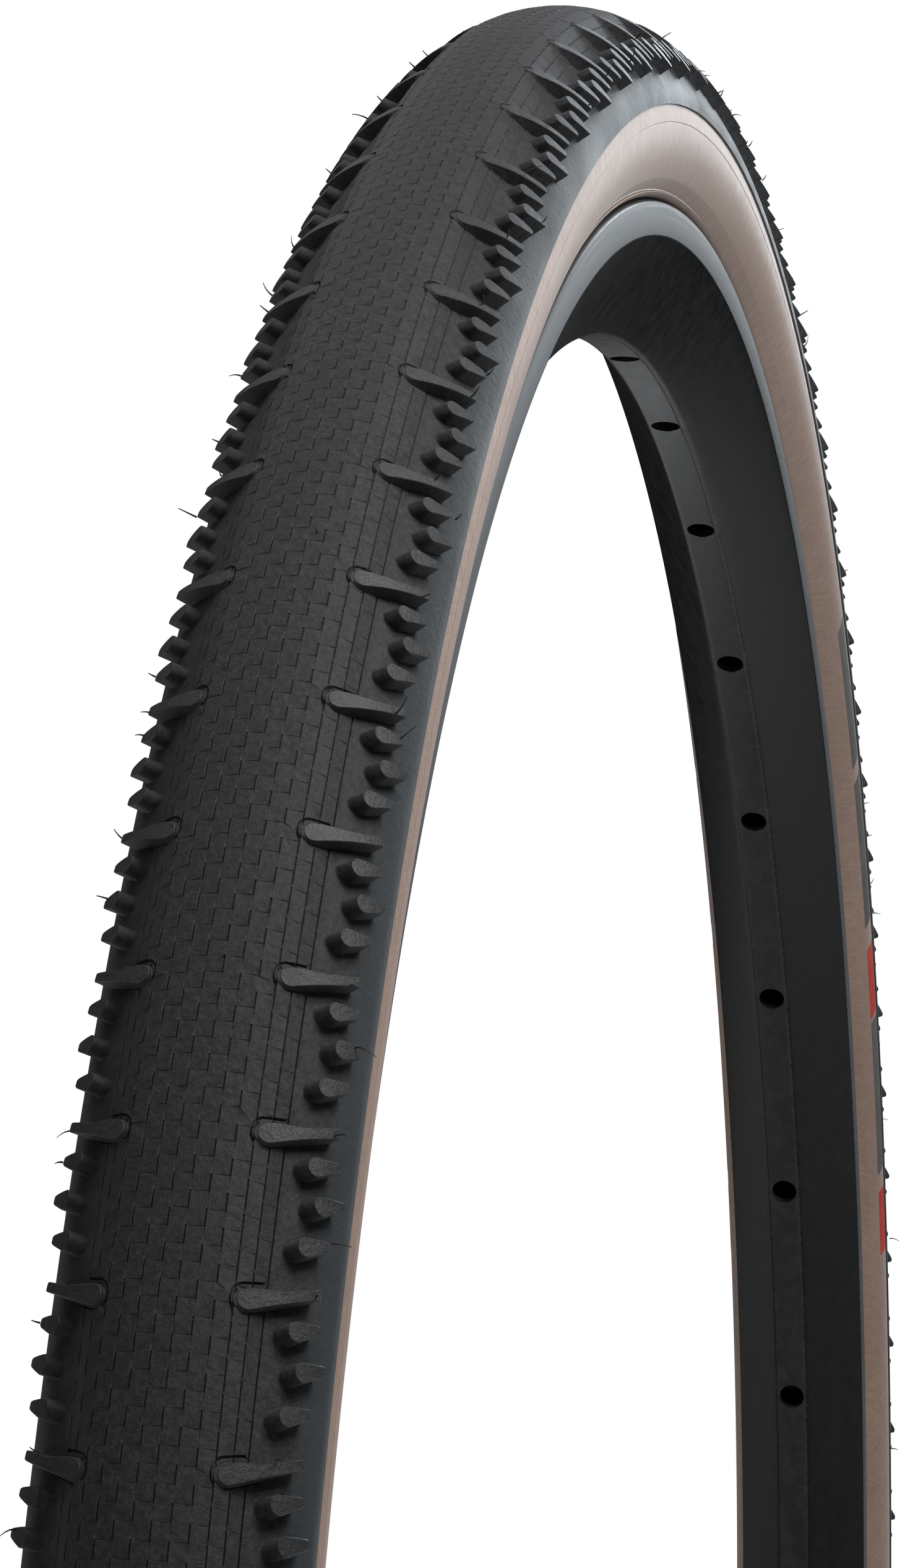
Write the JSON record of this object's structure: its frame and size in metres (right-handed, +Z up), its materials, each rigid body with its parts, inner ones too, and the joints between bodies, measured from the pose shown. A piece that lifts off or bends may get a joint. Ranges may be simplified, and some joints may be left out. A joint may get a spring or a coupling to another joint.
{
  "type": "bicycle tyre on rim",
  "caption": "Gravel bicycle tyre with tan sidewalls and a shoulder-knob tread, seated on a deep black tubeless rim with tape, valve and cap.",
  "frame": {"origin": "centre of the wheel, on its axle line, midway between the two sides", "axes": "+Y along the axle towards the left side, +Z up, valve at the bottom on -Z"},
  "size_m": [0.6991, 0.037, 0.6992],
  "materials": {
    "tread_rubber": "matt moulded rubber with a slight sheen",
    "belt_cord": "woven cord",
    "casing_cord": "rubberised cord",
    "liner_rubber": "smooth rubber",
    "sidewall_skin": "thin tan rubber over fine cord weave",
    "bead_cord": "twisted cord",
    "bead_cloth": "rubberised cloth",
    "label_print": "matt transfer",
    "rim_carbon": "satin carbon laminate",
    "tape_film": "smooth film",
    "seal_rubber": "smooth rubber",
    "stem_metal": "threaded, satin",
    "nut_metal": "black anodised, knurled",
    "core_brass": "machined",
    "spring_steel": "drawn wire",
    "cap_plastic": "moulded plastic"
  },
  "bodies": {
    "wheel": {"tread_cap": "tread_rubber", "long_knobs_left": "tread_rubber", "long_knobs_right": "tread_rubber", "inner_knobs_left": "tread_rubber", "inner_knobs_right": "tread_rubber", "outer_knobs_left": "tread_rubber", "outer_knobs_right": "tread_rubber", "puncture_belt": "belt_cord", "outer_ply": "casing_cord", "inner_ply": "casing_cord", "inner_liner": "liner_rubber", "sidewall_left": "sidewall_skin", "sidewall_right": "sidewall_skin", "bead_core_left": "bead_cord", "bead_core_right": "bead_cord", "bead_filler_left": "liner_rubber", "bead_filler_right": "liner_rubber", "bead_strip_left": "bead_cloth", "bead_strip_right": "bead_cloth", "sidewall_labels": "label_print", "rim": "rim_carbon", "rim_tape": "tape_film", "valve_base": "seal_rubber", "valve_stem": "stem_metal", "valve_core_body": "core_brass", "valve_spring": "spring_steel"},
    "pin_body": {"valve_pin": "core_brass", "valve_seal": "seal_rubber"},
    "pin_nut": {"valve_nut": "core_brass"},
    "lock_nut_body": {"lock_nut": "nut_metal", "lock_ring": "seal_rubber"},
    "cap_body": {"valve_cap": "cap_plastic"}
  },
  "joints": [
    {"name": "valve_cap_pull", "type": "slide", "parent": "wheel", "child": "cap_body", "axis": [0, 0, 1], "range_m": [0, 0.03]},
    {"name": "lock_nut_slide", "type": "slide", "parent": "wheel", "child": "lock_nut_body", "axis": [0, 0, 1], "range_m": [0, 0.015]},
    {"name": "valve_pin_press", "type": "slide", "parent": "wheel", "child": "pin_body", "axis": [0, 0, -1], "range_m": [0, 0.0016], "stiffness_N_per_m": 300, "springref_m": -0.001, "deforming": ["valve_spring"]},
    {"name": "valve_nut_turn", "type": "hinge", "parent": "pin_body", "child": "pin_nut", "pos_m": [0, 0, -0.256], "axis": [0, 0, 1], "continuous": true}
  ]
}
